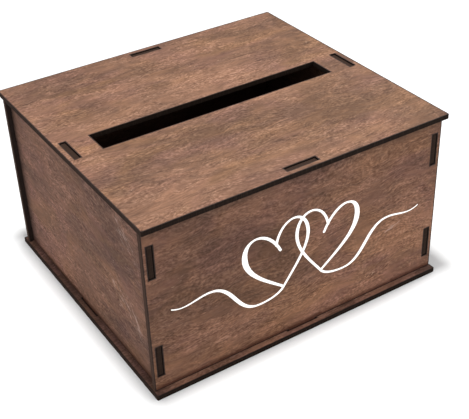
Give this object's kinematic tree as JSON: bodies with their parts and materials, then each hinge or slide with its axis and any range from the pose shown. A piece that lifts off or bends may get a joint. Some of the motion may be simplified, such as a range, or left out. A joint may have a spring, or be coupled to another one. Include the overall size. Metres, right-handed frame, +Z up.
{
  "type": "wedding card box",
  "caption": "Slot-together stained plywood box with tabbed walls, a lift-off lid with a long card slot, and a white linked-hearts ornament on the front.",
  "frame": {"origin": "middle of the underside of the base", "axes": "+X to the right along the front panel, +Y from the front panel to the back panel, +Z up"},
  "size_m": [0.2922, 0.2666, 0.1651],
  "materials": {
    "stained_plywood": "satin",
    "white_film": "matte"
  },
  "bodies": {
    "box": {"base_panel": "stained_plywood", "front_panel": "stained_plywood", "back_panel": "stained_plywood", "left_panel": "stained_plywood", "right_panel": "stained_plywood", "front_ornament": "white_film"},
    "lid": {"lid_panel": "stained_plywood"}
  },
  "joints": [
    {"name": "lid_lift", "type": "slide", "parent": "box", "child": "lid", "axis": [0, 0, 1], "range_m": [0, 0.15]}
  ]
}
